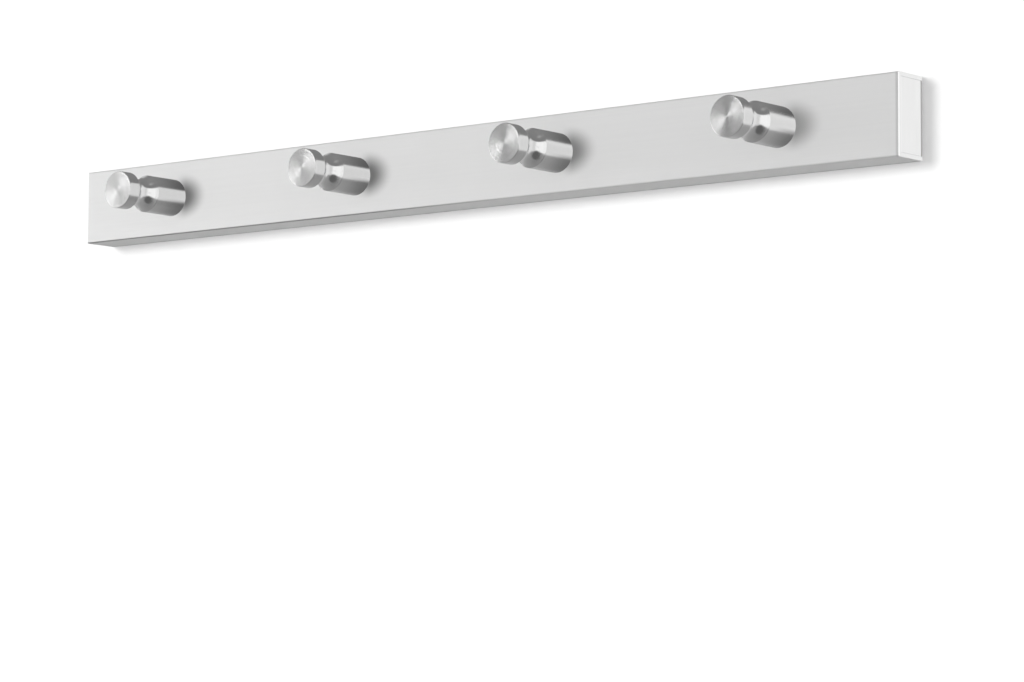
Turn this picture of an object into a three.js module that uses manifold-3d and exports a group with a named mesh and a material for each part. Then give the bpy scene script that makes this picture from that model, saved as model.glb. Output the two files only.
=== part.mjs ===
// Wall hook rack: a folded steel rail with turned knobs on its front, hung on the wall by two keyholes.
// Millimetres. +Z is up, +X runs along the rail, and the front looks towards -Y.
// The origin lies on the wall plane, at the middle of the rack's back.

import * as THREE from "three";
import { mergeVertices } from "three/addons/utils/BufferGeometryUtils.js";
import Module from "manifold-3d";

const wasm = await Module();
wasm.setup();

// Rail
const knobCount = 4;
const knobPitch = 135;
const endMargin = 67.5; // from a rail end to the axis of the nearest knob
const railHeight = 40;
const railDepth = 20;
const railWall = 2;
const railEdgeRadius = 0.8;

// End plates
const endPlateThickness = 2.5;

// Knobs, from the rail outwards
const knobRadius = 10;
const bodyLength = 21.5;
const grooveLength = 14;
const grooveDepth = 2.8;
const headLength = 7;
const knobEdgeEase = 0.4;

// Knob screws, with countersunk heads of 90 degrees
const screwRadius = 2.5;
const screwHeadHeight = 2.5;
const screwHeadRecess = 0.2; // how far the head lies under the wall plane
const screwSeatLand = 0.3; // straight hole left in the back plate under each countersink
const screwEngagement = 10.2; // thread inside the knob
const screwTipEase = 0.5;
const socketAcrossFlats = 3;
const socketDepth = 1.9;
const tapRunOut = 1.8; // hole left beyond the screw's tip

// Spacer sleeves and lock washers
const sleeveWall = 2.2;
const lockWasherWidth = 2.2;
const lockWasherThickness = 1;
const lockWasherTeeth = 8;
const lockWasherNotchDepth = 0.9;
const lockWasherNotchWidth = 0.8;

// Keyholes
const keyholeEntryRadius = 5;
const keyholeSlotRadius = 2.6;
const keyholeTravel = 9; // from the entry's centre up to where the wall screw ends

// Clearance that a piece keeps to the piece around it
const seatGap = 0.3;

// Fineness of the round shapes
const knobSegments = 36;
const boreSegments = 24;
const grooveSteps = 10;
const edgeSteps = 3;
const cutterOvershoot = 1;

// Sizes that follow from the ones above
const railLength = (knobCount - 1) * knobPitch + 2 * endMargin;
const cavityHalfHeight = railHeight / 2 - railWall;
const cavityDepth = railDepth - railWall;
const knobLength = bodyLength + grooveLength + headLength;
const clearanceRadius = screwRadius + seatGap;
const screwHeadRadius = screwRadius + screwHeadHeight;
const screwLength = railDepth - screwHeadRecess + screwEngagement;
const backPlateThickness = screwHeadRecess + screwHeadHeight + screwSeatLand;
const lockWasherRadius = clearanceRadius + lockWasherWidth;

function knobX(index) {
  return (index - (knobCount - 1) / 2) * knobPitch;
}

// Keyholes lie midway between the two outermost knobs on each side.
const keyholeX = knobX(knobCount - 1) - knobPitch / 2;

const finishes = {
  brushedSteel: { color: 0xc9c9c8, roughness: 0.35, metalness: 1 },
  turnedSteel: { color: 0xc4c4c3, roughness: 0.25, metalness: 1 },
  plainSteel: { color: 0xa9abab, roughness: 0.5, metalness: 1 },
  zincSteel: { color: 0xb4b8bb, roughness: 0.4, metalness: 1 },
};

// Solids

function toSolid(geometry) {
  const bare = geometry.clone();
  bare.deleteAttribute("normal");
  bare.deleteAttribute("uv");
  const merged = mergeVertices(bare, 1e-4);
  const mesh = new wasm.Mesh({
    numProp: 3,
    vertProperties: new Float32Array(merged.attributes.position.array),
    triVerts: new Uint32Array(merged.index.array),
  });
  return new wasm.Manifold(mesh);
}

function toGeometry(solid) {
  const mesh = solid.getMesh();
  const geometry = new THREE.BufferGeometry();
  geometry.setAttribute("position", new THREE.BufferAttribute(new Float32Array(mesh.vertProperties), 3));
  geometry.setIndex(new THREE.BufferAttribute(new Uint32Array(mesh.triVerts), 1));
  return geometry;
}

function cut(geometry, cutters) {
  let solid = toSolid(geometry);
  for (const cutter of cutters) {
    solid = solid.subtract(toSolid(cutter));
  }
  return toGeometry(solid);
}

// Extrudes an outline drawn in (Y, Z) along +X.
function extrudeAlongX(outline, length) {
  const geometry = new THREE.ExtrudeGeometry(outline, { depth: length, bevelEnabled: false, curveSegments: edgeSteps });
  const axes = new THREE.Matrix4().makeBasis(
    new THREE.Vector3(0, 1, 0),
    new THREE.Vector3(0, 0, 1),
    new THREE.Vector3(1, 0, 0),
  );
  return geometry.applyMatrix4(axes);
}

// Extrudes an outline drawn in (X, Z) from y = 0 towards -Y.
function extrudeForward(outline, depth) {
  const geometry = new THREE.ExtrudeGeometry(outline, { depth, bevelEnabled: false, curveSegments: boreSegments / 2 });
  const axes = new THREE.Matrix4().makeBasis(
    new THREE.Vector3(1, 0, 0),
    new THREE.Vector3(0, 0, 1),
    new THREE.Vector3(0, -1, 0),
  );
  return geometry.applyMatrix4(axes);
}

// Turns a profile of [radius, distance forward] points around an axis along -Y. The outside runs forwards.
function turn(profile, segments) {
  const points = profile.map(([radius, forward]) => new THREE.Vector2(radius, -forward));
  return new THREE.LatheGeometry(points.reverse(), segments);
}

// A plain round cutter along Y, between two distances forward.
function roundCutter(radius, from, to) {
  return turn([[0, from], [radius, from], [radius, to], [0, to]], boreSegments);
}

function rectangle(u0, v0, u1, v1) {
  const shape = new THREE.Shape();
  shape.moveTo(u0, v0);
  shape.lineTo(u1, v0);
  shape.lineTo(u1, v1);
  shape.lineTo(u0, v1);
  shape.closePath();
  return shape;
}

// Pieces

// A channel with its web in front and its two flanges running back to the wall.
function railChannel() {
  const half = railHeight / 2;
  const front = -railDepth;
  const outline = new THREE.Shape();
  outline.moveTo(0, -half);
  outline.lineTo(0, -cavityHalfHeight);
  outline.lineTo(-cavityDepth, -cavityHalfHeight);
  outline.lineTo(-cavityDepth, cavityHalfHeight);
  outline.lineTo(0, cavityHalfHeight);
  outline.lineTo(0, half);
  outline.lineTo(front + railEdgeRadius, half);
  outline.absarc(front + railEdgeRadius, half - railEdgeRadius, railEdgeRadius, Math.PI / 2, Math.PI, false);
  outline.lineTo(front, -half + railEdgeRadius);
  outline.absarc(front + railEdgeRadius, -half + railEdgeRadius, railEdgeRadius, Math.PI, 1.5 * Math.PI, false);
  outline.closePath();

  const channel = extrudeAlongX(outline, railLength).translate(-railLength / 2, 0, 0);
  const holes = [];
  for (let index = 0; index < knobCount; index += 1) {
    const hole = roundCutter(clearanceRadius, cavityDepth - cutterOvershoot, railDepth + cutterOvershoot);
    holes.push(hole.translate(knobX(index), 0, 0));
  }
  return cut(channel, holes);
}

// A plate that fills the channel's end, flush with it.
function endPlate() {
  const halfHeight = cavityHalfHeight - seatGap;
  return extrudeAlongX(rectangle(-cavityDepth + seatGap, -halfHeight, 0, halfHeight), endPlateThickness);
}

// A round entry with a narrow slot above it, which drops over a wall screw's head.
function keyholeOutline(x) {
  const slotJoin = Math.asin(keyholeSlotRadius / keyholeEntryRadius);
  const entryZ = -keyholeTravel / 2;
  const slotTopZ = keyholeTravel / 2;
  const outline = new THREE.Path();
  outline.absarc(x, slotTopZ, keyholeSlotRadius, 0, Math.PI, false);
  outline.absarc(x, entryZ, keyholeEntryRadius, Math.PI / 2 + slotJoin, 2.5 * Math.PI - slotJoin, false);
  outline.closePath();
  return outline;
}

// The plate that closes the back: it carries the screw heads and hangs the rack.
function backPlate() {
  const halfLength = railLength / 2 - endPlateThickness - seatGap;
  const halfHeight = cavityHalfHeight - seatGap;
  const outline = rectangle(-halfLength, -halfHeight, halfLength, halfHeight);
  outline.holes.push(keyholeOutline(-keyholeX), keyholeOutline(keyholeX));
  const plate = extrudeForward(outline, backPlateThickness);

  const seatRadius = screwHeadRadius + screwHeadRecess + seatGap;
  const seats = [];
  for (let index = 0; index < knobCount; index += 1) {
    const seat = turn([
      [0, -cutterOvershoot],
      [seatRadius + cutterOvershoot, -cutterOvershoot],
      [clearanceRadius, seatRadius - clearanceRadius],
      [clearanceRadius, backPlateThickness + cutterOvershoot],
      [0, backPlateThickness + cutterOvershoot],
    ], boreSegments);
    seats.push(seat.translate(knobX(index), 0, 0));
  }
  return cut(plate, seats);
}

// The hollow waist between body and head, as points from the body to the head.
function groovePoints() {
  const half = grooveLength / 2;
  const arcRadius = (half * half + grooveDepth * grooveDepth) / (2 * grooveDepth);
  const halfAngle = Math.asin(half / arcRadius);
  const points = [];
  for (let step = 0; step <= grooveSteps; step += 1) {
    const angle = halfAngle * (2 * step / grooveSteps - 1);
    const radius = knobRadius - grooveDepth + arcRadius * (1 - Math.cos(angle));
    points.push([radius, bodyLength + half + arcRadius * Math.sin(angle)]);
  }
  return points;
}

// A solid turned knob with a tapped hole and a seat for the lock washer in its base.
function hookKnob() {
  const tapDepth = screwEngagement + tapRunOut;
  const washerSeatRadius = lockWasherRadius + seatGap;
  return turn([
    [0, tapDepth],
    [clearanceRadius, tapDepth],
    [clearanceRadius, lockWasherThickness],
    [washerSeatRadius, lockWasherThickness],
    [washerSeatRadius, 0],
    [knobRadius - knobEdgeEase, 0],
    [knobRadius, knobEdgeEase],
    ...groovePoints(),
    [knobRadius, knobLength - knobEdgeEase],
    [knobRadius - knobEdgeEase, knobLength],
    [0, knobLength],
  ], knobSegments);
}

// A countersunk machine screw with a hexagon socket, from its head forward.
function knobScrew() {
  const shank = turn([
    [0, 0],
    [screwHeadRadius, 0],
    [screwRadius, screwHeadHeight],
    [screwRadius, screwLength - screwTipEase],
    [screwRadius - screwTipEase, screwLength],
    [0, screwLength],
  ], boreSegments);
  const socketRadius = socketAcrossFlats / Math.sqrt(3);
  const socketLength = socketDepth + cutterOvershoot;
  const socket = new THREE.CylinderGeometry(socketRadius, socketRadius, socketLength, 6);
  socket.translate(0, socketLength / 2 - socketDepth, 0);
  return cut(shank, [socket]);
}

// A tube that keeps the back plate and the rail's front apart when the screw is tightened.
function spacerSleeve() {
  const outerRadius = clearanceRadius + sleeveWall;
  const length = cavityDepth - backPlateThickness;
  return turn([
    [clearanceRadius, 0],
    [outerRadius, 0],
    [outerRadius, length],
    [clearanceRadius, length],
    [clearanceRadius, 0],
  ], boreSegments);
}

// A ring with notches around its bore, which leave teeth that grip the screw and the rail.
function lockWasher() {
  const ring = turn([
    [clearanceRadius, 0],
    [lockWasherRadius, 0],
    [lockWasherRadius, lockWasherThickness],
    [clearanceRadius, lockWasherThickness],
    [clearanceRadius, 0],
  ], boreSegments);
  const notchLength = lockWasherNotchDepth + cutterOvershoot;
  const notches = [];
  for (let index = 0; index < lockWasherTeeth; index += 1) {
    const notch = new THREE.BoxGeometry(notchLength, 2 * lockWasherThickness + 2, lockWasherNotchWidth);
    notch.translate(clearanceRadius + lockWasherNotchDepth - notchLength / 2, 0, 0);
    notch.rotateY(2 * Math.PI * (index + 0.5) / lockWasherTeeth);
    notches.push(notch);
  }
  return cut(ring, notches);
}

// Assembly

function piece(name, geometry, finish, x, forward) {
  const mesh = new THREE.Mesh(geometry, new THREE.MeshStandardMaterial(finish));
  mesh.name = name;
  mesh.position.set(x, -forward, 0);
  return mesh;
}

const rack = new THREE.Group();

rack.add(piece("rail_channel", railChannel(), finishes.brushedSteel, 0, 0));
rack.add(piece("end_plate_left", endPlate(), finishes.brushedSteel, -railLength / 2, 0));
rack.add(piece("end_plate_right", endPlate(), finishes.brushedSteel, railLength / 2 - endPlateThickness, 0));
rack.add(piece("back_plate", backPlate(), finishes.plainSteel, 0, 0));

for (let index = 0; index < knobCount; index += 1) {
  const x = knobX(index);
  const number = index + 1;
  rack.add(piece(`hook_knob_${number}`, hookKnob(), finishes.turnedSteel, x, railDepth));
  rack.add(piece(`lock_washer_${number}`, lockWasher(), finishes.zincSteel, x, railDepth));
  rack.add(piece(`spacer_sleeve_${number}`, spacerSleeve(), finishes.zincSteel, x, backPlateThickness));
  rack.add(piece(`knob_screw_${number}`, knobScrew(), finishes.zincSteel, x, screwHeadRecess));
}

export default rack;
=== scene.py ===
"""Builds a steel wall hook rack with four turned knobs around its frame, with its studio and camera."""

import math

import bmesh
import bpy
from mathutils import Matrix, Vector


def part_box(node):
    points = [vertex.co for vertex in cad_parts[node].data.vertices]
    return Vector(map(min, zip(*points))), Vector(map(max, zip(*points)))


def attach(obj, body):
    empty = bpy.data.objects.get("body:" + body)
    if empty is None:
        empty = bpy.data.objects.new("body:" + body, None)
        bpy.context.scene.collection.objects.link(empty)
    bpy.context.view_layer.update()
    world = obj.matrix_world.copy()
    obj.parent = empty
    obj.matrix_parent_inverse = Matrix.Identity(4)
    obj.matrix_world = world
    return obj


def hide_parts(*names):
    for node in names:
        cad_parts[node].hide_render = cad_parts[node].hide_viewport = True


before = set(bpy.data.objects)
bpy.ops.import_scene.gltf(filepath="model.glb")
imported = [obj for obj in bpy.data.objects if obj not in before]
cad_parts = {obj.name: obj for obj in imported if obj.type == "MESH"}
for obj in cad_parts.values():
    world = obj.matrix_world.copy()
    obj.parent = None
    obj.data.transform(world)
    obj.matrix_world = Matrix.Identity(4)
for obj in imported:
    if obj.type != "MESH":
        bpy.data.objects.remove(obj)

bl_info = {
    "name": "Wall Hook Rack",
    "version": (1, 0, 0),
    "blender": (4, 5, 0),
    "location": "View3D > Sidebar > Hook Rack",
    "description": "Builds a brushed steel wall rack with turned knobs, and the studio it stands in",
    "category": "Add Mesh",
}

MM = 0.001
OVER = MM  # how far a cutter stands out of the piece it cuts
TOUCH = 1e-6  # points closer than this are the same point
SHARP = math.radians(35)  # edges that turn further than this stay sharp
HOLE_SEGMENTS = 64
CORNER_SEGMENTS = 5
SPREAD = 8  # noise keeps near its middle, and this stretches it to a full swing
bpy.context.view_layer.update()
RAIL_LOW, RAIL_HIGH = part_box("rail_channel")
KNOBS = ("hook_knob_1", "hook_knob_2", "hook_knob_3", "hook_knob_4")


def middle(node):
    """The middle of a frame node's box."""
    low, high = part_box(node)
    return (low + high) / 2


# Settings


def a_length(**choices):
    """A length in a group of settings."""
    return bpy.props.FloatProperty(subtype="DISTANCE", unit="LENGTH", **choices)


def a_share(**choices):
    """A share from 0 to 1 in a group of settings."""
    return bpy.props.FloatProperty(min=0, max=1, subtype="FACTOR", **choices)


def a_colour(**choices):
    """A colour in a group of settings."""
    return bpy.props.FloatVectorProperty(min=0, max=1, size=3, subtype="COLOR", **choices)


class RailSettings(bpy.types.PropertyGroup):
    """Sizes and finish of the folded rail and the plates that close it"""

    wall: a_length(
        name="Wall", description="Thickness of the folded sheet",
        default=2 * MM, min=0.5 * MM)
    edge_radius: a_length(
        name="Edge radius", description="Rounding of the rail's front edges",
        default=0.8 * MM, min=0.1 * MM)
    fine_radius: a_length(
        name="Fine radius", description="Rounding left by deburring on the end plates' other edges",
        default=0.15 * MM, min=0.02 * MM)
    back_radius: a_length(
        name="Back radius", description="Rounding of the end plates' edges at the wall",
        default=0.5 * MM, min=0.05 * MM)
    seam_fill: a_length(
        name="Seam fill", description="How far the ground weld around an end plate fills its seam",
        default=0.27 * MM, min=0)
    knob_hole: a_length(
        name="Knob hole", description="Diameter of the clearance hole behind each knob",
        default=5.6 * MM, min=2 * MM)
    colour: a_colour(
        name="Colour", description="Colour of the brushed steel",
        default=(0.736, 0.736, 0.734))
    metallic: a_share(
        name="Metallic", description="How much the satin surface mirrors rather than scatters light",
        default=0.50)
    roughness: a_share(
        name="Roughness", description="How matt the brushed steel is along its grain",
        default=0.42)
    grain: a_share(
        name="Grain", description="How steep the brushing marks are",
        default=0.03)
    # The next three settings shape the shadows painted on the rail at the knobs' feet, in place of the knobs'
    # own shadows
    knob_shadow_paint: a_share(
        name="Seat shade", description="How dark the rail is where the left-hand knob seats on it",
        default=0.79)
    shadow_reach: a_length(
        name="Seat reach", description="How far that darker patch reaches around a knob",
        default=10 * MM, min=0.1 * MM)
    seat_shift: a_length(
        name="Seat shift", description="How far that patch sits off the knob, away from the lamp",
        default=6 * MM, min=0)
    # Painted dark reflections along the rail's front edges
    edge_reflection_paint: a_share(
        name="Edge shade", description="How dark the front's darkest edge is",
        default=0.60)
    # Painted shade on the rail's inner faces
    fold_shade_paint: a_share(
        name="Inside shade", description="How dark the rail is inside",
        default=0.80)
    # Painted shadow line along the rail's edges against the wall
    wall_shadow_paint: a_share(
        name="Back shade", description="How dark the rail's edges are against the wall",
        default=0.50)
    # The end plates' colour is a lighter copy of the rail's steel, a painted highlight on the ends
    end_highlight_colour: a_colour(
        name="End colour", description="Colour of the end plates' steel",
        default=(0.90, 0.90, 0.898))
    end_roughness: a_share(
        name="End roughness", description="How matt the end plates are along their grain",
        default=0.25)
    # Painted shadow line along the end plates' edges against the wall
    end_wall_shadow_paint: a_share(
        name="End back shade", description="How dark the end plates' edges are against the wall",
        default=0.62)


class KnobSettings(bpy.types.PropertyGroup):
    """Sizes and finish of the turned knobs"""

    groove_depth: a_length(
        name="Groove depth", description="Depth of the hollow waist",
        default=2.8 * MM, min=0.2 * MM)
    groove_length: a_length(
        name="Groove length", description="Length of the hollow waist",
        default=14 * MM, min=1 * MM)
    head_length: a_length(
        name="Head length", description="Length of the head in front of the waist",
        default=7 * MM, min=1 * MM)
    edge_radius: a_length(
        name="Edge radius", description="Rounding of the face's edge",
        default=0.4 * MM, min=0.05 * MM)
    base_radius: a_length(
        name="Base radius", description="Rounding of the base's edge at the rail",
        default=0.9 * MM, min=0.05 * MM)
    shoulder_radius: a_length(
        name="Shoulder radius", description="Rounding where the waist meets the body and the head",
        default=0.16 * MM, min=0.02 * MM)
    washer_seat: a_length(
        name="Washer seat", description="Diameter of the recess for the lock washer",
        default=10.6 * MM, min=4 * MM)
    washer_depth: a_length(
        name="Washer depth", description="Depth of the recess for the lock washer",
        default=1 * MM, min=0.1 * MM)
    tap_hole: a_length(
        name="Tapped hole", description="Diameter of the hole for the knob screw",
        default=5.6 * MM, min=1 * MM)
    tap_depth: a_length(
        name="Tapped depth", description="Depth of the hole for the knob screw",
        default=12 * MM, min=1 * MM)
    segments: bpy.props.IntProperty(
        name="Segments", description="Faces around each knob",
        default=96, min=24, max=256)
    waist_steps: bpy.props.IntProperty(
        name="Waist steps", description="Faces along the waist's curve",
        default=28, min=4, max=96)
    colour: a_colour(
        name="Colour", description="Colour of the turned steel",
        default=(0.74, 0.74, 0.738))
    roughness: a_share(
        name="Roughness", description="How matt the turned steel is along its rings",
        default=0.13)
    rings: a_share(
        name="Rings", description="How steep the turning marks are on the sides",
        default=0.05)
    face_rings: a_share(
        name="Face rings", description="How steep the turning marks are on the face",
        default=0.47)
    # The next two settings paint shade on the knob: a dark line at its foot, and its body's upper and lower
    # sides darker towards the rail
    seam: a_share(
        name="Seam", description="How dark the knob is where it meets the rail",
        default=0.7)
    painted_base_shade: a_share(
        name="Painted base shade", description="How much the body's upper and lower sides darken towards the rail",
        default=0.5)


class BackSettings(bpy.types.PropertyGroup):
    """Sizes and finishes of the back plate and the screws"""

    entry_diameter: a_length(
        name="Keyhole entry", description="Diameter of the keyhole's round entry",
        default=10 * MM, min=3 * MM)
    slot_width: a_length(
        name="Keyhole slot", description="Width of the keyhole's slot",
        default=5.2 * MM, min=1 * MM)
    keyhole_travel: a_length(
        name="Keyhole travel", description="From the middle of the entry up to the end of the slot",
        default=9 * MM, min=1 * MM)
    seat_diameter: a_length(
        name="Screw seat", description="Diameter of a countersink where it meets the back",
        default=11 * MM, min=3 * MM)
    clearance: a_length(
        name="Screw hole", description="Diameter of a screw's clearance hole",
        default=5.6 * MM, min=1 * MM)
    screw_diameter: a_length(
        name="Screw", description="Diameter of the knob screws",
        default=5 * MM, min=1 * MM)
    screw_segments: bpy.props.IntProperty(
        name="Screw segments", description="Faces around each screw",
        default=48, min=12, max=128)
    head_ease: a_length(
        name="Head ease", description="Rounding of a screw head's rim",
        default=0.15 * MM, min=0.02 * MM)
    tip_ease: a_length(
        name="Tip ease", description="Size of the chamfer on a screw's tip",
        default=0.5 * MM, min=0.05 * MM)
    socket_width: a_length(
        name="Socket", description="Width across the flats of the screw's hexagon socket",
        default=3 * MM, min=0.5 * MM)
    socket_depth: a_length(
        name="Socket depth", description="Depth of the hexagon socket",
        default=1.9 * MM, min=0.2 * MM)
    # Painted shade inside a screw's socket
    painted_recess_shade: a_share(
        name="Socket shade", description="How dark a screw's socket is inside",
        default=0.80)
    deburr: a_length(
        name="Deburring", description="Width taken off the back plate's sharp edges",
        default=0.12 * MM, min=0.01 * MM)
    plate_colour: a_colour(
        name="Plate colour", description="Colour of the plain steel sheet",
        default=(0.47, 0.475, 0.48))
    zinc_colour: a_colour(
        name="Zinc colour", description="Colour of the zinc plating",
        default=(0.56, 0.585, 0.61))


class StudioSettings(bpy.types.PropertyGroup):
    """The room, the light and the camera"""

    wall_gap: a_length(
        name="Wall gap", description="Gap between the rack's back and the studio wall",
        default=0.6 * MM, min=0)
    room_size: a_length(
        name="Room size", description="Width of the studio's wall and of its floor",
        default=40, min=1)
    floor_height: a_length(
        name="Floor height", description="Height of the floor, measured from the rack",
        default=-1.3)
    room_colour: a_colour(
        name="Room colour", description="Colour of the wall and the floor",
        default=(0.93, 0.93, 0.93))
    room_matt: a_share(
        name="Room matt", description="Share of the room's colour that is matt paint",
        default=0.76)
    room_glow: a_share(
        name="Room glow", description="How strongly the room's colour glows where it is seen",
        default=0.30)
    lamp_strength: bpy.props.FloatProperty(
        name="Lamp strength", description="Strength of the lamp in watts for each square metre",
        default=2.0, min=0)
    lamp_angle: bpy.props.FloatProperty(
        name="Lamp angle", description="How wide the lamp looks from the rack, which softens its shadows",
        default=math.radians(20), min=0, subtype="ANGLE", unit="ROTATION")
    lamp_side: bpy.props.FloatVectorProperty(
        name="Lamp side", description="Direction from the rack to the lamp",
        default=(-0.38, -1.00, 0.17), size=3, subtype="DIRECTION")
    camera_place: bpy.props.FloatVectorProperty(
        name="Camera place", description="Where the camera stands",
        default=(1.16229, -1.38749, -0.26571), size=3, subtype="TRANSLATION", unit="LENGTH")
    camera_turn: bpy.props.FloatProperty(
        name="Camera turn", description="How far the camera looks to the left of the wall's normal",
        default=math.radians(39.4146), subtype="ANGLE", unit="ROTATION")
    camera_rise: bpy.props.FloatProperty(
        name="Camera rise", description="How far the camera looks up",
        default=math.radians(5.5814), subtype="ANGLE", unit="ROTATION")
    camera_roll: bpy.props.FloatProperty(
        name="Camera roll", description="How far the camera leans to its side",
        default=math.radians(0.3028), subtype="ANGLE", unit="ROTATION")
    camera_lens: bpy.props.FloatProperty(
        name="Lens", description="Focal length in millimetres on a sensor 36 mm wide",
        default=124.335, min=1, subtype="DISTANCE_CAMERA")


# Node trees


class Wire:
    """One output of a node. Arithmetic on it adds the Math nodes that work it out."""

    def __init__(self, board, socket):
        self.board = board
        self.socket = socket

    def other(self, name):
        """Another output of the same node."""
        return Wire(self.board, self.socket.node.outputs[name])

    def swing(self, amount):
        """Turns a value from 0 to 1 into a change, up or down by half an amount at most."""
        return (self - 0.5) * amount

    def part(self, axis):
        """The X, Y or Z of a vector."""
        return self.board.add("ShaderNodeSeparateXYZ", {}, {"Vector": self}, output=axis)

    def maths(self, operation, *values):
        """A Math node on some values."""
        return self.board.add("ShaderNodeMath", {"operation": operation}, dict(enumerate(values)))

    def __add__(self, value):
        return self.maths("ADD", self, value)

    def __radd__(self, value):
        return self.maths("ADD", value, self)

    def __sub__(self, value):
        return self.maths("SUBTRACT", self, value)

    def __rsub__(self, value):
        return self.maths("SUBTRACT", value, self)

    def __mul__(self, value):
        return self.maths("MULTIPLY", self, value)

    def __rmul__(self, value):
        return self.maths("MULTIPLY", value, self)

    def __truediv__(self, value):
        return self.maths("DIVIDE", self, value)

    def __neg__(self):
        return self.maths("MULTIPLY", self, -1)

    def __abs__(self):
        return self.maths("ABSOLUTE", self)


class Board:
    """The node tree of a material or of the world, emptied and ready for nodes."""

    def __init__(self, owner):
        owner.use_nodes = True
        self.tree = owner.node_tree
        self.tree.nodes.clear()

    def add(self, kind, settings=None, inputs=None, output=0):
        """Adds a node, sets its settings, then gives its sockets their values or links."""
        node = self.tree.nodes.new(kind)
        for name, value in (settings or {}).items():
            if name == "stops":
                self.lay_stops(node.color_ramp, value)
            else:
                setattr(node, name, value)
        for key, value in (inputs or {}).items():
            if isinstance(value, Wire):
                self.tree.links.new(value.socket, node.inputs[key])
            else:
                node.inputs[key].default_value = value
        return Wire(self, node.outputs[output]) if len(node.outputs) else None

    def lay_stops(self, ramp, stops):
        """Lays grey stops on a colour ramp from pairs of position and level."""
        ramp.interpolation = "EASE"
        while len(ramp.elements) > 1:
            ramp.elements.remove(ramp.elements[-1])
        for index, (position, level) in enumerate(stops):
            element = ramp.elements[0] if index == 0 else ramp.elements.new(position)
            element.position = position
            element.color = (level, level, level, 1)

    def mix(self, factor, first, second):
        """Runs from the first colour to the second as a factor runs from 0 to 1."""
        return self.add("ShaderNodeMix", {"data_type": "RGBA"},
                        {"Factor": factor, 6: first, 7: second}, output=2)

    def noise(self, place, scale, detail, roughness):
        """Noise that changes over a place."""
        return self.add("ShaderNodeTexNoise", {"noise_dimensions": "3D"},
                        {"Vector": place, "Scale": scale, "Detail": detail, "Roughness": roughness})

    def noise_along(self, travel, scale, detail, roughness):
        """Noise that changes along one value."""
        return self.add("ShaderNodeTexNoise", {"noise_dimensions": "1D"},
                        {"W": travel, "Scale": scale, "Detail": detail, "Roughness": roughness})

    def vector(self, operation, *values, output=0):
        """A Vector Math node on some values."""
        return self.add("ShaderNodeVectorMath", {"operation": operation}, dict(enumerate(values)), output)

    def ease(self, value, start, end):
        """Runs smoothly from 0 at start to 1 at end."""
        return self.add("ShaderNodeMapRange", {"interpolation_type": "SMOOTHSTEP"},
                        {"Value": value, "From Min": start, "From Max": end})


# Finishes


def metal(name, build):
    """Makes a metal's material. build(board) returns the sockets of its shader."""
    material = bpy.data.materials.new(name)
    board = Board(material)
    shader = board.add("ShaderNodeBsdfPrincipled", {}, {"Metallic": 1.0, **build(board)})
    board.add("ShaderNodeOutputMaterial", {}, {"Surface": shader})
    return material


def tinted(board, colour, amount, level):
    """A colour made darker or lighter by amount as level runs from 0 to 1."""
    dark = tuple(c * (1 - amount) for c in colour) + (1,)
    light = tuple(min(1, c * (1 + amount)) for c in colour) + (1,)
    return board.mix(level, dark, light)


def grooved(board, along, slope):
    """The surface's normal, tilted across grooves that run along a direction."""
    normal = board.add("ShaderNodeNewGeometry", output="Normal")
    across = board.vector("NORMALIZE", board.vector("CROSS_PRODUCT", normal, along))
    tilt = board.add("ShaderNodeVectorMath", {"operation": "SCALE"}, {0: across, "Scale": slope})
    return board.vector("NORMALIZE", board.vector("ADD", normal, tilt))


def brushed(board, place, colour, grain, along):
    """A fine straight grain along 'X' or 'Z'. Returns its colour, its change of roughness and its normal."""

    def stretched(lengthwise, across):
        """The place, with its own scale along the grain and across it."""
        scales = {"X": (lengthwise, across, across), "Z": (across, across, lengthwise)}[along]
        return board.vector("MULTIPLY", place, scales)

    direction = {"X": (1, 0, 0), "Z": (0, 0, 1)}[along]
    hairs = board.noise(stretched(lengthwise=40, across=4200), scale=1, detail=1, roughness=0.5)
    bands = board.noise(stretched(lengthwise=3.5, across=700), scale=1, detail=3, roughness=0.6)
    clouds = board.noise(place, scale=14, detail=2, roughness=0.5)
    unevenness = bands.swing(0.06) + clouds.swing(0.05)
    normal = grooved(board, direction, hairs.swing(SPREAD * grain))
    return tinted(board, colour, 0.025, bands), unevenness, normal


def rail_steel(name, settings):
    """Satin steel with its grain along the rail, with painted shadows at the knobs' feet, painted shade
    inside and along the wall, painted dark reflections on its front edges, and the end plates' lighter steel
    on its cut ends as a painted highlight.
    """
    colour = settings.colour

    def build(board):
        place = board.add("ShaderNodeTexCoord", output="Object")
        tint, unevenness, normal = brushed(board, place, colour, settings.grain, "X")
        # Painted dark reflections on the front's edges, a painted shadow line against the wall, painted
        # shadows at the knobs' feet and painted shade inside the fold
        for mask, amount in ((painted_edge_reflections(board, place), settings.edge_reflection_paint),
                             (wall_shadow_line(board, place), settings.wall_shadow_paint),
                             (painted_knob_shadows(board, place, settings), settings.knob_shadow_paint),
                             (fold_shade_mask(board, place, settings.wall), settings.fold_shade_paint)):
            tint = shaded(board, tint, colour, mask, amount)
        # The cut ends take the end plates' lighter steel, a painted highlight
        end = cut_end(board, place, settings.edge_radius)
        roughness = end * (settings.end_roughness - settings.roughness) + settings.roughness
        return {
            "Base Color": board.mix(end, tint, (*settings.end_highlight_colour, 1)),
            "Metallic": end * (1 - settings.metallic) + settings.metallic,
            "Roughness": unevenness + roughness,
            "Normal": normal,
        }

    return metal(name, build)


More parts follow.
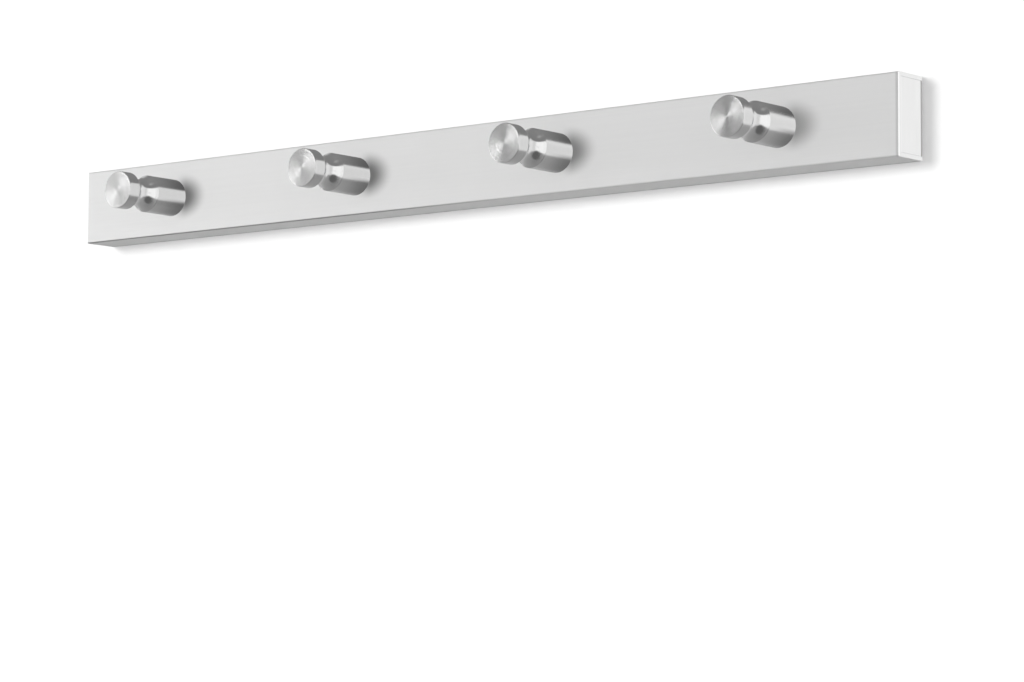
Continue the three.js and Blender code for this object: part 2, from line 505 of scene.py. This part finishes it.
def end_steel(name, settings):
    """Brushed steel with its grain upright, lighter than the rail's as a painted highlight, with a painted
    shadow along its edge at the wall.
    """
    colour = settings.end_highlight_colour

    def build(board):
        place = board.add("ShaderNodeTexCoord", output="Object")
        tint, unevenness, normal = brushed(board, place, colour, settings.grain, "Z")
        return {
            "Base Color": shaded(board, tint, colour, wall_shadow_line(board, place), settings.end_wall_shadow_paint),
            "Roughness": unevenness + settings.end_roughness,
            "Normal": normal,
        }

    return metal(name, build)


def cut_end(board, place, edge):
    """Where the rail takes the end plates' lighter, fully metal steel as a painted highlight: 1 on its two
    cut ends and the rounded edges around them, and 0 elsewhere.
    """
    return board.ease(abs(place.part("X")), RAIL_HIGH.x - edge, RAIL_HIGH.x - edge / 2)


def fold_shade_mask(board, place, wall):
    """Where the painted shade inside the rail goes: 1 on the inner faces of the folded rail, and 0 on its
    outer faces.
    """
    start, full = 0.8 * wall, 0.97 * wall  # depths in the sheet where the mask starts and is full
    behind = board.ease(place.part("Y"), RAIL_LOW.y + start, RAIL_LOW.y + full)
    within = board.ease(abs(place.part("Z")), RAIL_HIGH.z - start, RAIL_HIGH.z - full)
    between = board.ease(abs(place.part("X")), RAIL_HIGH.x - wall, RAIL_HIGH.x - 1.5 * wall)
    return behind * within * between


def painted_edge_reflections(board, place):
    """Painted dark reflections on the front's edges: 1 on the left half of the lower one, and fainter on the
    others.
    """
    faint, fainter = 0.35, 0.15
    fade = 80 * MM  # on both sides of the rail's middle
    along = place.part("X")
    height = place.part("Z")
    front = board.ease(place.part("Y"), RAIL_LOW.y + 1.2 * MM, RAIL_LOW.y + 0.6 * MM)
    both = board.ease(abs(height), RAIL_HIGH.z - 1.2 * MM, RAIL_HIGH.z - 0.4 * MM) * fainter
    lower = board.ease(height, RAIL_LOW.z + 0.7 * MM, RAIL_LOW.z + 0.3 * MM) * board.ease(along, fade, -fade)
    right = board.ease(along, RAIL_HIGH.x - 2.2 * MM, RAIL_HIGH.x - 1.2 * MM) * faint
    return front * both.maths("MAXIMUM", both.maths("MAXIMUM", both, lower), right)


def wall_shadow_line(board, place):
    """Where the painted shadow line against the wall goes: 1 on the edges against the wall, and 0 elsewhere.
    """
    return board.ease(place.part("Y"), RAIL_HIGH.y - 1.4 * MM, RAIL_HIGH.y - 1.0 * MM)


def out_from(board, place, centre, stretch=(1, 0, 1)):
    """The way out to a place from an axis along Y, stretched in X and Z."""
    return board.vector("MULTIPLY", board.vector("SUBTRACT", place, centre), stretch)


def painted_knob_shadows(board, place, seats):
    """Painted shadows at the knobs' feet, on the side away from the lamp and fainter to the rail's right."""
    along = place.part("X")
    flattened = (1, 0, 1.45)  # the patches are wider than they are high
    fade_start, fade_end = -0.5 * RAIL_HIGH.x, 2.77 * RAIL_HIGH.x
    near = None
    for node in KNOBS:
        low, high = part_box(node)
        axis = middle(node)
        radius = (high.x - low.x) / 2
        from_centre = out_from(board, place, axis + Vector((seats.seat_shift, 0, 0)), flattened)
        distance = board.vector("LENGTH", from_centre, output="Value")
        patch = board.ease(distance, radius + seats.shadow_reach, radius - seats.shadow_reach / 2)
        patch = patch * board.ease(along, axis.x, axis.x + radius)
        near = patch if near is None else patch.maths("MAXIMUM", patch, near)
    return near * board.ease(along, fade_end, fade_start)


def shaded(board, tint, colour, mask, amount):
    """Mixes a tint with a darker shade of its colour where a mask is 1."""
    dark = tuple(c * (1 - amount) for c in colour) + (1,)
    return board.mix(mask, tint, dark)


def turned_steel(name, settings, node):
    """Steel with the fine rings that a lathe leaves, with painted shade at its foot and on its body's upper
    and lower sides towards the rail.
    """
    colour = settings.colour
    low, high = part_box(node)
    base = high.y
    side_radius = (high.x - low.x) / 2
    shoulder = low.y + settings.head_length + settings.groove_length

    def build(board):
        place = board.add("ShaderNodeTexCoord", output="Object")
        from_axis = out_from(board, place, middle(node))
        around = board.vector("CROSS_PRODUCT", from_axis, (0, 1, 0))
        back = place.part("Y")
        travel = board.vector("LENGTH", from_axis, output="Value") + back
        marks = board.noise_along(travel, scale=24000, detail=1, roughness=0.5)
        bands = board.noise_along(travel, scale=1100, detail=2, roughness=0.6)
        smudges = board.noise(place, scale=160, detail=2, roughness=0.5)
        normal = board.add("ShaderNodeNewGeometry", output="Normal")
        facing = board.vector("DOT_PRODUCT", normal, (0, -1, 0), output="Value")
        flat = facing * facing * facing * facing
        slope = marks.swing(SPREAD) * (flat * (settings.face_rings - settings.rings) + settings.rings)
        # Painted shade at the knob's foot, and on its body's upper and lower sides towards the rail
        seam = board.ease(back, base - settings.base_radius, base - settings.base_radius / 4)
        side = board.ease(abs(from_axis.part("Z")), 0.2 * side_radius, 0.42 * side_radius)
        painted_base_shade = board.ease(back, shoulder, base) * side
        tint = tinted(board, colour, 0.03, bands)
        tint = shaded(board, tint, colour, painted_base_shade, settings.painted_base_shade)
        return {
            "Base Color": shaded(board, tint, colour, seam, settings.seam),
            "Roughness": bands.swing(0.06) + smudges.swing(0.05) + flat * 0.02 + settings.roughness,
            "Normal": grooved(board, around, slope),
        }

    return metal(name, build)


def pitted(board, grit, strength, depth):
    """The surface's normal, roughened by fine grit."""
    return board.add("ShaderNodeBump", {}, {"Strength": strength, "Distance": depth, "Height": grit})


def sheet_steel(name, colour):
    """Plain cold rolled sheet, with faint rolling lines and a cloudy surface."""

    def build(board):
        place = board.add("ShaderNodeTexCoord", output="Object")
        along_rail = board.vector("MULTIPLY", place, (6, 300, 300))
        rolling = board.noise(along_rail, scale=1, detail=3, roughness=0.6)
        clouds = board.noise(place, scale=45, detail=4, roughness=0.55)
        grit = board.noise(place, scale=2500, detail=2, roughness=0.5)
        return {
            "Base Color": tinted(board, colour, 0.10, rolling * 0.5 + clouds * 0.5),
            "Roughness": clouds.swing(0.25) + rolling.swing(0.12) + 0.42,
            "Normal": pitted(board, grit, strength=0.25, depth=0.05 * MM),
        }

    return metal(name, build)


def recess_shade_mask(board, place, settings, node):
    """Where the painted shade in a screw's socket goes: 1 inside its hexagon socket, and 0 elsewhere."""
    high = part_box(node)[1]
    radius = board.vector("LENGTH", out_from(board, place, middle(node)), output="Value")
    within = board.ease(radius, 0.70 * settings.socket_width, 0.63 * settings.socket_width)
    return within * board.ease(place.part("Y"), high.y - 0.05 * MM, high.y - 0.3 * MM)


def zinc_plating(name, settings, screw=None):
    """Bright zinc plating, slightly blue and mottled, with painted shade in a screw's socket."""
    colour = settings.zinc_colour

    def build(board):
        place = board.add("ShaderNodeTexCoord", output="Object")
        mottle = board.noise(place, scale=600, detail=3, roughness=0.6)
        grit = board.noise(place, scale=5000, detail=1, roughness=0.5)
        tint = tinted(board, colour, 0.12, mottle)
        if screw:
            socket = recess_shade_mask(board, place, settings, screw)
            tint = shaded(board, tint, colour, socket, settings.painted_recess_shade)
        return {
            "Base Color": tint,
            "Roughness": mottle.swing(0.25) + 0.32,
            "Normal": pitted(board, grit, strength=0.2, depth=0.03 * MM),
        }

    return metal(name, build)


# Shapes


def placed(name, data):
    """Puts a mesh, a lamp or a camera in the scene as a new object."""
    thing = bpy.data.objects.new(name, data)
    bpy.context.scene.collection.objects.link(thing)
    return thing


def plain_mesh(bm, name):
    """Turns a bmesh into a mesh and frees it."""
    mesh = bpy.data.meshes.new(name)
    bm.to_mesh(mesh)
    bm.free()
    return mesh


def add_piece(name, mesh, material, slot, *nodes):
    """Puts a finished mesh in the scene, on the rack's body, in place of its frame nodes."""
    piece = placed(name, mesh)
    mesh.materials.append(material)
    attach(piece, "root")
    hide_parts(*nodes)
    piece.visible_glossy = False
    return piece


def close_mesh(bm, name):
    """Merges doubles, turns the faces outwards and makes a smooth mesh with its sharp edges kept."""
    bmesh.ops.remove_doubles(bm, verts=bm.verts, dist=TOUCH)
    bmesh.ops.recalc_face_normals(bm, faces=bm.faces)
    mesh = plain_mesh(bm, name)
    mesh.shade_smooth()
    mesh.set_sharp_from_angle(angle=SHARP)
    return mesh


def even_shading(piece):
    """Keeps flat faces flat beside their rounded edges."""
    weighted = piece.modifiers.new("Even shading", "WEIGHTED_NORMAL")
    weighted.keep_sharp = True


def box(bm, low, high):
    """A box between two corners."""
    made = bmesh.ops.create_cube(bm, size=1.0)
    bmesh.ops.scale(bm, verts=made["verts"], vec=high - low)
    bmesh.ops.translate(bm, verts=made["verts"], vec=(low + high) / 2)


def round_edges(bm, edges, radius, segments):
    """Rounds edges to a radius."""
    bmesh.ops.bevel(bm, geom=edges, offset=radius, offset_type="OFFSET", segments=segments,
                    profile=0.5, affect="EDGES", clamp_overlap=True, material=-1)


def round_corner(bm, corner, radius):
    """Rounds a corner of a profile to a radius."""
    bmesh.ops.bevel(bm, geom=[corner], offset=radius, offset_type="OFFSET", segments=CORNER_SEGMENTS,
                    profile=0.5, affect="VERTICES", clamp_overlap=True, material=-1)


def sharp_edges(bm, angle):
    """Edges whose two faces meet at more than an angle in degrees."""
    return [edge for edge in bm.edges
            if len(edge.link_faces) == 2 and edge.calc_face_angle() > math.radians(angle)]


def edges_at(bm, y):
    """Edges that lie at y from end to end."""
    return [edge for edge in bm.edges if all(abs(vert.co.y - y) < TOUCH for vert in edge.verts)]


def turned(bm, profile, centre_x, segments):
    """Turns a profile of radius and distance forward around an axis along Y.

    A corner with a third value is rounded to that radius.
    """
    verts = [bm.verts.new((centre_x + step[0], -step[1], 0)) for step in profile]
    for first, second in zip(verts, verts[1:]):
        bm.edges.new((first, second))
    for vert, step in zip(verts, profile):
        if len(step) > 2:
            round_corner(bm, vert, step[2])
    spin(bm, centre_x, segments)


def spin(bm, centre_x, segments):
    """Turns everything in a bmesh once around an axis along Y."""
    bmesh.ops.spin(bm, geom=bm.verts[:] + bm.edges[:], cent=(centre_x, 0, 0), axis=(0, 1, 0),
                   dvec=(0, 0, 0), angle=2 * math.pi, steps=segments, use_merge=True,
                   use_normal_flip=False, use_duplicate=False)
    bmesh.ops.remove_doubles(bm, verts=bm.verts, dist=TOUCH)
    bmesh.ops.recalc_face_normals(bm, faces=bm.faces)


def drill(piece_mesh, cutters, name):
    """Takes the cutters' volume out of a mesh and returns the new mesh, without slivers or materials."""
    body = placed("blank", piece_mesh)
    tools = [placed("cutter", plain_mesh(cutter, "cutter")) for cutter in cutters]
    for number, tool in enumerate(tools, 1):
        cut = body.modifiers.new(f"Hole {number}", "BOOLEAN")
        cut.operation = "DIFFERENCE"
        cut.solver = "EXACT"
        cut.object = tool
    bpy.context.view_layer.update()
    graph = bpy.context.evaluated_depsgraph_get()
    result = bpy.data.meshes.new_from_object(body.evaluated_get(graph))
    result.name = name
    bm = bmesh.new()
    bm.from_mesh(result)
    bmesh.ops.dissolve_degenerate(bm, edges=bm.edges, dist=TOUCH)
    bm.to_mesh(result)
    bm.free()
    result.materials.clear()
    for used in tools + [body]:
        bpy.data.objects.remove(used)
    return result


def round_cutter(centre_x, radius, y_low, y_high, z=0):
    """A round cutter along Y."""
    bm = bmesh.new()
    turned(bm, [(0, -y_high), (radius, -y_high), (radius, -y_low), (0, -y_low)], centre_x, HOLE_SEGMENTS)
    bmesh.ops.translate(bm, verts=bm.verts, vec=(0, 0, z))
    return bm


def soften(piece, width):
    """Takes the sharpness off a piece's edges, as deburring does."""
    bevel = piece.modifiers.new("Deburred edges", "BEVEL")
    bevel.width = width
    bevel.segments = 2
    bevel.limit_method = "ANGLE"
    bevel.angle_limit = math.radians(40)


def folded_channel(settings):
    """The rail's blank: a section folded from sheet, open at the back, with its front edges rounded."""
    low, high = RAIL_LOW, RAIL_HIGH
    wall = settings.wall
    outline = [(high.y, low.z), (high.y, low.z + wall), (low.y + wall, low.z + wall),
               (low.y + wall, high.z - wall), (high.y, high.z - wall), (high.y, high.z),
               (low.y, high.z), (low.y, low.z)]
    bm = bmesh.new()
    section = bm.faces.new([bm.verts.new((low.x, y, z)) for y, z in outline])
    made = bmesh.ops.extrude_face_region(bm, geom=[section], use_keep_orig=True)
    moved = [g for g in made["geom"] if isinstance(g, bmesh.types.BMVert)]
    bmesh.ops.translate(bm, verts=moved, vec=(high.x - low.x, 0, 0))
    bmesh.ops.recalc_face_normals(bm, faces=bm.faces)
    round_edges(bm, edges_at(bm, low.y), settings.edge_radius, segments=6)
    return bm


def knob_blank(settings, node):
    """The turned knob: tapped base with a washer seat, body, hollow waist and head."""
    low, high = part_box(node)
    centre_x = (low.x + high.x) / 2
    radius = (high.x - low.x) / 2
    base = -high.y
    tip = -low.y
    head = tip - settings.head_length
    body = head - settings.groove_length
    half = settings.groove_length / 2
    depth = settings.groove_depth
    arc_radius = (half * half + depth * depth) / (2 * depth)
    arc_angle = 2 * math.asin(half / arc_radius)

    bm = bmesh.new()

    def vertex(distance, forward):
        return bm.verts.new((centre_x + distance, -forward, 0))

    behind = [
        vertex(0, base + settings.tap_depth),
        vertex(settings.tap_hole / 2, base + settings.tap_depth),
        vertex(settings.tap_hole / 2, base + settings.washer_depth),
        vertex(settings.washer_seat / 2, base + settings.washer_depth),
        vertex(settings.washer_seat / 2, base),
        vertex(radius, base),
        vertex(radius, body),
    ]
    base_rim, body_rim = behind[-2:]
    face_rim, face_middle = vertex(radius, tip), vertex(0, tip)
    arc_centre = (centre_x + radius - depth + arc_radius, -(body + half), 0)
    made = bmesh.ops.spin(bm, geom=[body_rim], cent=arc_centre, axis=(0, 0, 1), dvec=(0, 0, 0),
                          angle=arc_angle, steps=settings.waist_steps, use_merge=False,
                          use_normal_flip=False, use_duplicate=False)
    head_rim = [g for g in made["geom_last"] if isinstance(g, bmesh.types.BMVert)][0]
    for first, second in zip(behind, behind[1:]):
        bm.edges.new((first, second))
    bm.edges.new((head_rim, face_rim))
    bm.edges.new((face_rim, face_middle))
    round_corner(bm, base_rim, settings.base_radius)
    round_corner(bm, face_rim, settings.edge_radius)
    round_corner(bm, body_rim, settings.shoulder_radius)
    round_corner(bm, head_rim, settings.shoulder_radius)
    spin(bm, centre_x, settings.segments)
    return bm


def keyhole_cutters(settings, centre_x, y_low, y_high):
    """Cutters for a keyhole: its round entry, the slot's round end, and the slot between them."""
    entry_z = -settings.keyhole_travel / 2
    slot_z = settings.keyhole_travel / 2
    half = settings.slot_width / 2
    slot = bmesh.new()
    box(slot, Vector((centre_x - half, y_low, entry_z)), Vector((centre_x + half, y_high, slot_z)))
    return [round_cutter(centre_x, settings.entry_diameter / 2, y_low, y_high, entry_z),
            round_cutter(centre_x, half, y_low, y_high, slot_z), slot]


def countersink_cutter(settings, centre_x, thickness):
    """A cutter for a countersunk screw hole through the back plate."""
    wide = settings.seat_diameter / 2
    narrow = settings.clearance / 2
    bm = bmesh.new()
    turned(bm, [(0, -OVER), (wide + OVER, -OVER), (narrow, wide - narrow),
                (narrow, thickness + OVER), (0, thickness + OVER)], centre_x, HOLE_SEGMENTS)
    return bm


def screw_blank(settings, node):
    """A countersunk screw, turned from its head forward, still without its socket."""
    low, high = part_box(node)
    head = (high.x - low.x) / 2
    shank = settings.screw_diameter / 2
    back = -high.y
    tip = -low.y
    ease = settings.tip_ease
    bm = bmesh.new()
    turned(bm, [(0, back), (head, back, settings.head_ease), (shank, back + head - shank),
                (shank, tip - ease), (shank - ease, tip), (0, tip)],
           (low.x + high.x) / 2, settings.screw_segments)
    return bm


def socket_cutter(settings, node):
    """A hexagon cutter for a screw's socket, turned so that its corners miss the edges around the head."""
    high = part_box(node)[1]
    reach = settings.socket_depth + OVER
    radius = settings.socket_width / math.sqrt(3)
    bm = bmesh.new()
    bmesh.ops.create_cone(bm, cap_ends=True, segments=6, depth=reach, radius1=radius, radius2=radius)
    between_faces = Matrix.Rotation(math.pi / settings.screw_segments, 3, "Z")
    lying_along_y = Matrix.Rotation(math.radians(90), 3, "X")
    bmesh.ops.rotate(bm, verts=bm.verts, matrix=lying_along_y @ between_faces)
    bmesh.ops.translate(bm, verts=bm.verts, vec=(middle(node).x, high.y + OVER - reach / 2, 0))
    return bm


# Operators


class RACK_OT_build_stage(bpy.types.Operator):
    """Build the wall, the floor, the light and the camera"""

    bl_idname = "rack.build_stage"
    bl_label = "Stage"

    def execute(self, context):
        settings = context.scene.rack_studio
        self.place_camera(context, settings)
        self.place_room(settings)
        self.place_light(context, settings)
        context.scene.view_settings.view_transform = "Standard"
        return {"FINISHED"}

    def place_camera(self, context, settings):
        """Puts the camera where the settings say and makes it the scene's camera."""
        turn = settings.camera_turn
        rise = settings.camera_rise
        ahead = Vector((-math.sin(turn) * math.cos(rise), math.cos(turn) * math.cos(rise), math.sin(rise)))
        right = Vector((math.cos(turn), math.sin(turn), 0))
        above = right.cross(ahead)
        roll = Matrix.Rotation(-settings.camera_roll, 3, ahead)
        right, above = roll @ right, roll @ above
        camera = placed("camera", bpy.data.cameras.new("camera"))
        camera.matrix_world = Matrix((
            (right.x, above.x, -ahead.x, settings.camera_place[0]),
            (right.y, above.y, -ahead.y, settings.camera_place[1]),
            (right.z, above.z, -ahead.z, settings.camera_place[2]),
            (0, 0, 0, 1),
        ))
        camera.data.sensor_width = 36
        camera.data.lens = settings.camera_lens
        camera.data.clip_start = 0.01
        camera.data.clip_end = 100
        context.scene.camera = camera

    def place_room(self, settings):
        """Lays the wall behind the rack and the floor under it."""
        paint = room_paint("room_paint", settings)
        facing_front = Matrix.Rotation(math.radians(90), 4, "X")
        wall_place = Matrix.Translation((0, settings.wall_gap, 0)) @ facing_front
        floor_place = Matrix.Translation((0, 0, settings.floor_height))
        for name, place in (("studio_wall", wall_place), ("studio_floor", floor_place)):
            bm = bmesh.new()
            bmesh.ops.create_grid(bm, x_segments=1, y_segments=1, size=settings.room_size / 2, matrix=place)
            mesh = plain_mesh(bm, name)
            mesh.materials.append(paint)
            sheet = placed(name, mesh)
            sheet.visible_glossy = False
            sheet.visible_shadow = False

    def place_light(self, context, settings):
        """Lights the room from all round, with one soft lamp from the front left."""
        world = bpy.data.worlds.new("studio")
        context.scene.world = world
        studio_world(world)
        lamp = placed("key_lamp", bpy.data.lights.new("key_lamp", "SUN"))
        lamp.data.energy = settings.lamp_strength
        lamp.data.angle = settings.lamp_angle
        lamp.rotation_mode = "QUATERNION"
        lamp.rotation_quaternion = Vector(settings.lamp_side).to_track_quat("Z", "Y")
        lamp.visible_glossy = False


def room_paint(name, settings):
    """Matt paint for the studio's wall and floor, which can be seen through from behind."""
    colour = settings.room_colour
    material = bpy.data.materials.new(name)
    board = Board(material)
    path = board.add("ShaderNodeLightPath", output="Is Camera Ray")
    seen = path + path.other("Is Glossy Ray") + path.other("Is Transmission Ray")
    matt_colour = tuple(c * settings.room_matt for c in colour) + (1,)
    matt = board.add("ShaderNodeBsdfDiffuse", {}, {"Color": matt_colour})
    glow = board.add("ShaderNodeEmission", {}, {"Color": (*colour, 1), "Strength": seen * settings.room_glow})
    paint = board.add("ShaderNodeAddShader", {}, {0: matt, 1: glow})
    clear = board.add("ShaderNodeBsdfTransparent")
    behind = board.add("ShaderNodeNewGeometry", output="Backfacing")
    shader = board.add("ShaderNodeMixShader", {}, {0: behind, 1: paint, 2: clear})
    board.add("ShaderNodeOutputMaterial", {}, {"Surface": shader})
    return material


def studio_world(world):
    """Soft light from all round: a grey room with lighter and darker panels and discs in it."""
    board = Board(world)
    direction = board.vector("NORMALIZE", board.add("ShaderNodeTexCoord", output="Generated"))
    x, y, z = (direction.part(axis) for axis in "XYZ")
    turn = x.maths("ARCTAN2", x, -y) * (180 / math.pi)
    rise = z.maths("ARCSINE", z) * (180 / math.pi)
    room = [(-90, 0.28), (-45, 0.36), (-30, 0.40), (-18, 0.48), (-6, 0.50), (4, 0.36),
            (12, 0.27), (30, 0.25), (55, 0.27), (90, 0.30)]  # rise in degrees, then the level of light
    stops = [((angle + 90) / 180, light) for angle, light in room]
    level = board.add("ShaderNodeValToRGB", {"stops": stops}, {"Fac": rise / 180 + 0.5})

    def panel(level, turns, rises, soft, light):
        """Lays a soft edged panel of light over what is there."""
        mask = (board.ease(turn, turns[0] - soft, turns[0] + soft)
                * board.ease(turn, turns[1] + soft, turns[1] - soft)
                * board.ease(rise, rises[0] - soft, rises[0] + soft)
                * board.ease(rise, rises[1] + soft, rises[1] - soft))
        return level + (light - level) * mask

    def disc(level, turn_at, rise_at, inner, outer, light):
        """Lays a soft edged round light over what is there."""
        side, up = math.radians(turn_at), math.radians(rise_at)
        toward = (math.sin(side) * math.cos(up), -math.cos(side) * math.cos(up), math.sin(up))
        facing = board.vector("DOT_PRODUCT", direction, toward, output="Value")
        mask = board.ease(facing, math.cos(math.radians(outer)), math.cos(math.radians(inner)))
        return level + (light - level) * mask

    # Each panel's two sides, its bottom and top and its soft edge, all in degrees, then its level of light.
    # A turn of 0 is straight in front of the rack, and 90 is at its right.
    level = panel(level, (26, 44), (-45, 34), 6, 0.50)
    level = panel(level, (44, 122), (-28, 31), 3, 1.20)
    level = panel(level, (122, 141), (-28, 31), 3, 0.85)
    level = panel(level, (141, 190), (-21, 30), 3, 0.97)
    level = panel(level, (-190, -163), (-6, 16), 3, 0.90)
    # Each disc's turn and rise, the radii where it starts and ends its fade, then its level of light.
    level = disc(level, -91, 21, 1, 39, 1.14)
    level = disc(level, 4, 6, 8, 24, 0.55)
    level = disc(level, 110, -50, 21, 34, 0.14)
    level = disc(level, 95, 62, 3, 12, 0.48)
    level = disc(level, -102, -4, 12, 21, 2.40)
    level = disc(level, -114, -13, 4, 13, 0.55)
    level = disc(level, -58, -3, 1, 21, 2.80)
    level = disc(level, -17, 27, 2, 13, 1.10)
    level = disc(level, -47, -24, 7, 14, 0.77)
    background = board.add("ShaderNodeBackground", {}, {"Color": (1, 1, 1, 1), "Strength": level})
    board.add("ShaderNodeOutputWorld", {}, {"Surface": background})


class RACK_OT_build_rail(bpy.types.Operator):
    """Build the folded rail, with its web in front and a hole behind each knob"""

    bl_idname = "rack.build_rail"
    bl_label = "Rail"

    def execute(self, context):
        settings = context.scene.rack_rail
        front, inside = RAIL_LOW.y, RAIL_LOW.y + settings.wall
        cutters = [round_cutter(middle(node).x, settings.knob_hole / 2, front - OVER, inside + OVER)
                   for node in KNOBS]
        mesh = drill(close_mesh(folded_channel(settings), "rail"), cutters, "rail")
        steel = rail_steel("brushed_rail_steel", settings)
        rail = add_piece("rail", mesh, steel, "brushed_rail", "rail_channel")
        even_shading(rail)
        return {"FINISHED"}


class RACK_OT_build_end_plates(bpy.types.Operator):
    """Build the plate that closes each end of the rail"""

    bl_idname = "rack.build_end_plates"
    bl_label = "End plates"

    def execute(self, context):
        settings = context.scene.rack_rail
        steel = end_steel("brushed_end_steel", settings)
        fill = settings.seam_fill
        for side in ("left", "right"):
            node = f"end_plate_{side}"
            low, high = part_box(node)
            bm = bmesh.new()
            box(bm, low - Vector((0, fill, fill)), high + Vector((0, 0, fill)))
            round_edges(bm, edges_at(bm, high.y), settings.back_radius, segments=4)
            round_edges(bm, sharp_edges(bm, angle=60), settings.fine_radius, segments=3)
            plate = add_piece(f"end_{side}", close_mesh(bm, node), steel, "brushed_rail", node)
            even_shading(plate)
        return {"FINISHED"}


class RACK_OT_build_knobs(bpy.types.Operator):
    """Build the four turned knobs"""

    bl_idname = "rack.build_knobs"
    bl_label = "Knobs"

    def execute(self, context):
        settings = context.scene.rack_knobs
        for number, node in enumerate(KNOBS, 1):
            steel = turned_steel(f"turned_steel_{number}", settings, node)
            mesh = close_mesh(knob_blank(settings, node), f"knob_{number}")
            knob = add_piece(f"knob_{number}", mesh, steel, "turned_knob", node)
            even_shading(knob)
            knob.visible_shadow = False  # the knobs cast no shadow; their shadows on the rail are painted into the rail's colour
        return {"FINISHED"}


class RACK_OT_build_back_plate(bpy.types.Operator):
    """Build the plate that closes the back, with its keyholes and screw seats"""

    bl_idname = "rack.build_back_plate"
    bl_label = "Back plate"

    def execute(self, context):
        settings = context.scene.rack_back
        low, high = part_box("back_plate")
        keyhole_x = (middle(KNOBS[2]).x + middle(KNOBS[3]).x) / 2
        cutters = []
        for x in (-keyhole_x, keyhole_x):
            cutters += keyhole_cutters(settings, x, low.y - OVER, high.y + OVER)
        cutters += [countersink_cutter(settings, middle(node).x, high.y - low.y) for node in KNOBS]
        bm = bmesh.new()
        box(bm, low, high)
        mesh = drill(close_mesh(bm, "back_plate"), cutters, "back_plate")
        steel = sheet_steel("plain_steel_sheet", settings.plate_colour)
        sheet = add_piece("back_sheet", mesh, steel, "plain_steel", "back_plate")
        soften(sheet, settings.deburr)
        even_shading(sheet)
        return {"FINISHED"}


class RACK_OT_build_fasteners(bpy.types.Operator):
    """Build the knob screws and plate the sleeves and lock washers"""

    bl_idname = "rack.build_fasteners"
    bl_label = "Fasteners"

    def execute(self, context):
        settings = context.scene.rack_back
        zinc = zinc_plating("zinc_plating", settings)
        for name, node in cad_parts.items():
            if name.startswith(("spacer_sleeve", "lock_washer")):
                node.data.materials.clear()
                node.data.materials.append(zinc)
        for number in range(1, len(KNOBS) + 1):
            node, name = f"knob_screw_{number}", f"screw_{number}"
            blank = close_mesh(screw_blank(settings, node), name)
            mesh = drill(blank, [socket_cutter(settings, node)], name)
            plating = zinc_plating(f"zinc_plating_{number}", settings, node)
            screw = add_piece(name, mesh, plating, "zinc_steel", node)
            even_shading(screw)
        return {"FINISHED"}


class RACK_PT_builder(bpy.types.Panel):
    """The rack's operators and settings"""

    bl_idname = "RACK_PT_builder"
    bl_label = "Wall Hook Rack"
    bl_space_type = "VIEW_3D"
    bl_region_type = "UI"
    bl_category = "Hook Rack"

    def draw(self, context):
        layout = self.layout
        for operator in OPERATORS:
            layout.operator(operator.bl_idname)
        for name, group in SETTINGS.items():
            box_layout = layout.box()
            for key in group.__annotations__:
                box_layout.prop(getattr(context.scene, name), key)


SETTINGS = {
    "rack_studio": StudioSettings,
    "rack_rail": RailSettings,
    "rack_knobs": KnobSettings,
    "rack_back": BackSettings,
}
OPERATORS = (
    RACK_OT_build_stage,
    RACK_OT_build_rail,
    RACK_OT_build_end_plates,
    RACK_OT_build_knobs,
    RACK_OT_build_back_plate,
    RACK_OT_build_fasteners,
)


def register():
    for group in SETTINGS.values():
        bpy.utils.register_class(group)
    for operator in OPERATORS:
        bpy.utils.register_class(operator)
    bpy.utils.register_class(RACK_PT_builder)
    for name, group in SETTINGS.items():
        setattr(bpy.types.Scene, name, bpy.props.PointerProperty(type=group))


def unregister():
    for name in SETTINGS:
        delattr(bpy.types.Scene, name)
    bpy.utils.unregister_class(RACK_PT_builder)
    for operator in reversed(OPERATORS):
        bpy.utils.unregister_class(operator)
    for group in SETTINGS.values():
        bpy.utils.unregister_class(group)


def main():
    """Builds everything in order."""
    register()
    bpy.ops.rack.build_stage()
    bpy.ops.rack.build_rail()
    bpy.ops.rack.build_end_plates()
    bpy.ops.rack.build_knobs()
    bpy.ops.rack.build_back_plate()
    bpy.ops.rack.build_fasteners()


if __name__ == "__main__":
    main()
